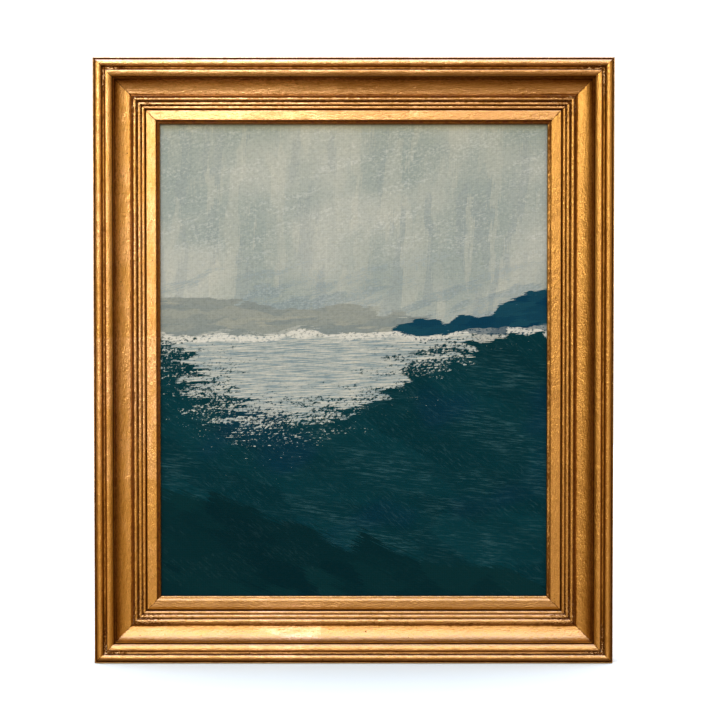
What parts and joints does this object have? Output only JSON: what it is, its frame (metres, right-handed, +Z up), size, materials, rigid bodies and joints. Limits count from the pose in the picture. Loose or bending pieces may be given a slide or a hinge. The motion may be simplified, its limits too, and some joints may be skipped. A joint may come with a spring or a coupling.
{
  "type": "framed oil painting",
  "caption": "Oil painting on stretched canvas in a wide mitred gilt cove frame, hung flat by keyhole plates let into its back.",
  "frame": {"origin": "on the flat back of the top rail, half way along it, where the frame lies against its wall", "axes": "+Z up the picture, -Y the way the picture faces, +Y into the wall, +X to the right as seen from the front"},
  "size_m": [0.652, 0.0499, 0.76],
  "materials": {
    "gilding": "water-gilt metal leaf over red-brown bole and gesso on wood, burnished on the crests, toned and rubbed, dark wax in the quirks",
    "painted_canvas": "oil paint brushed on primed linen, low sheen, bare primed cloth on the edges and back",
    "stretcher_pine": "planed bare pine",
    "key_beech": "sawn bare beech",
    "fittings_steel": "zinc-plated steel"
  },
  "bodies": {
    "root": {"frame_rail_top": "gilding", "frame_rail_bottom": "gilding", "frame_rail_left": "gilding", "frame_rail_right": "gilding", "stretcher_bar_top": "stretcher_pine", "stretcher_bar_bottom": "stretcher_pine", "stretcher_bar_left": "stretcher_pine", "stretcher_bar_right": "stretcher_pine", "canvas": "painted_canvas", "stretcher_key_top_left": "key_beech", "stretcher_key_top_right": "key_beech", "stretcher_key_right_top": "key_beech", "stretcher_key_right_bottom": "key_beech", "stretcher_key_bottom_right": "key_beech", "stretcher_key_bottom_left": "key_beech", "stretcher_key_left_bottom": "key_beech", "stretcher_key_left_top": "key_beech", "framers_point_top_1": "fittings_steel", "framers_point_top_2": "fittings_steel", "framers_point_right_1": "fittings_steel", "framers_point_right_2": "fittings_steel", "framers_point_bottom_1": "fittings_steel", "framers_point_bottom_2": "fittings_steel", "framers_point_left_1": "fittings_steel", "framers_point_left_2": "fittings_steel", "keyhole_hanger_left": "fittings_steel", "keyhole_hanger_right": "fittings_steel", "hanger_screw_left_upper": "fittings_steel", "hanger_screw_left_lower": "fittings_steel", "hanger_screw_right_upper": "fittings_steel", "hanger_screw_right_lower": "fittings_steel"}
  },
  "joints": []
}
